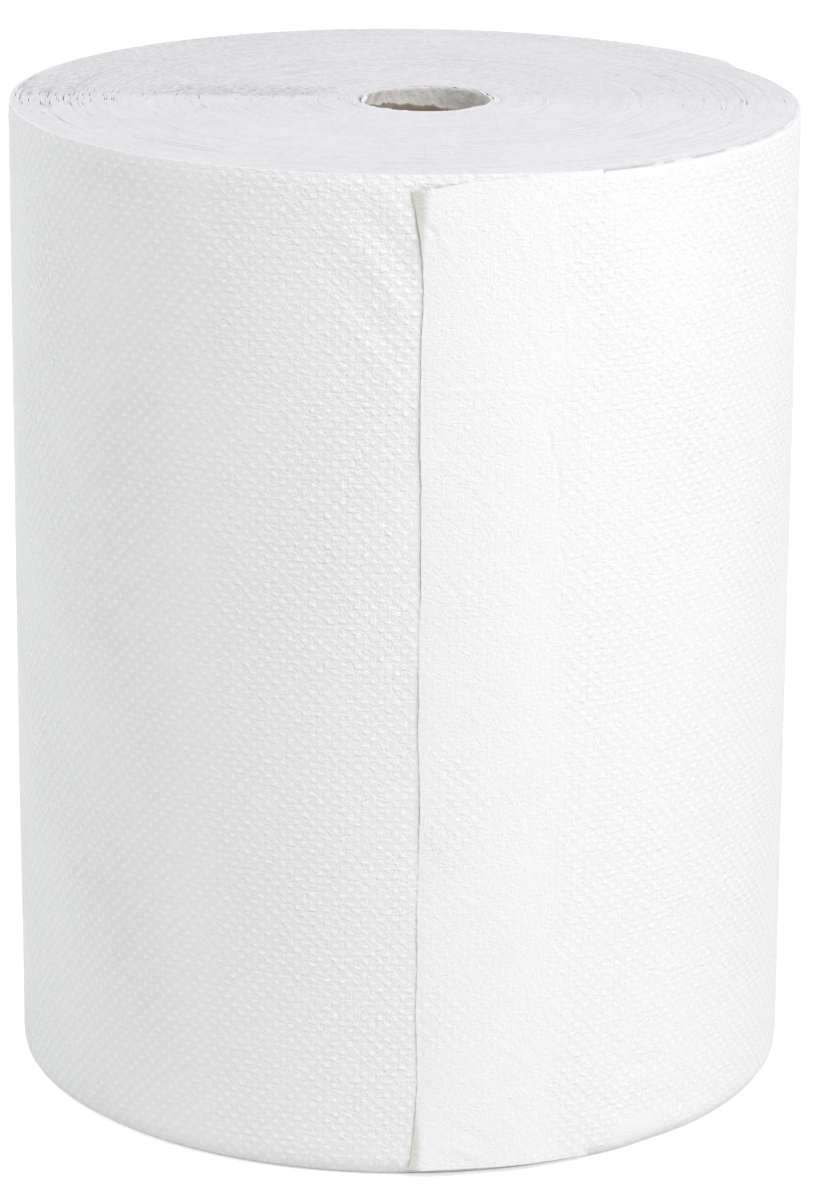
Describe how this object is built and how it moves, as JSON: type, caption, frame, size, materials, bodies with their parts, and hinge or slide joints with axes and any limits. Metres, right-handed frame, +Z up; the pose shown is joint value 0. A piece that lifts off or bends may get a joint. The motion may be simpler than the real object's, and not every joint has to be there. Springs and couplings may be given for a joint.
{
  "type": "udder paper roll",
  "caption": "Thick roll of white embossed tissue standing on its end, with a loose outer end and a recessed cardboard tube off its middle.",
  "frame": {"origin": "middle of the roll's foot, on the surface that it stands on", "axes": "+Z up the roll, along the tube; -Y towards the loose edge; +X to the right of it"},
  "size_m": [0.1892, 0.1916, 0.24],
  "materials": {
    "tissue": "matte",
    "core_board": "matte"
  },
  "bodies": {
    "root": {"paper_roll": "tissue", "core": "core_board"}
  },
  "joints": []
}
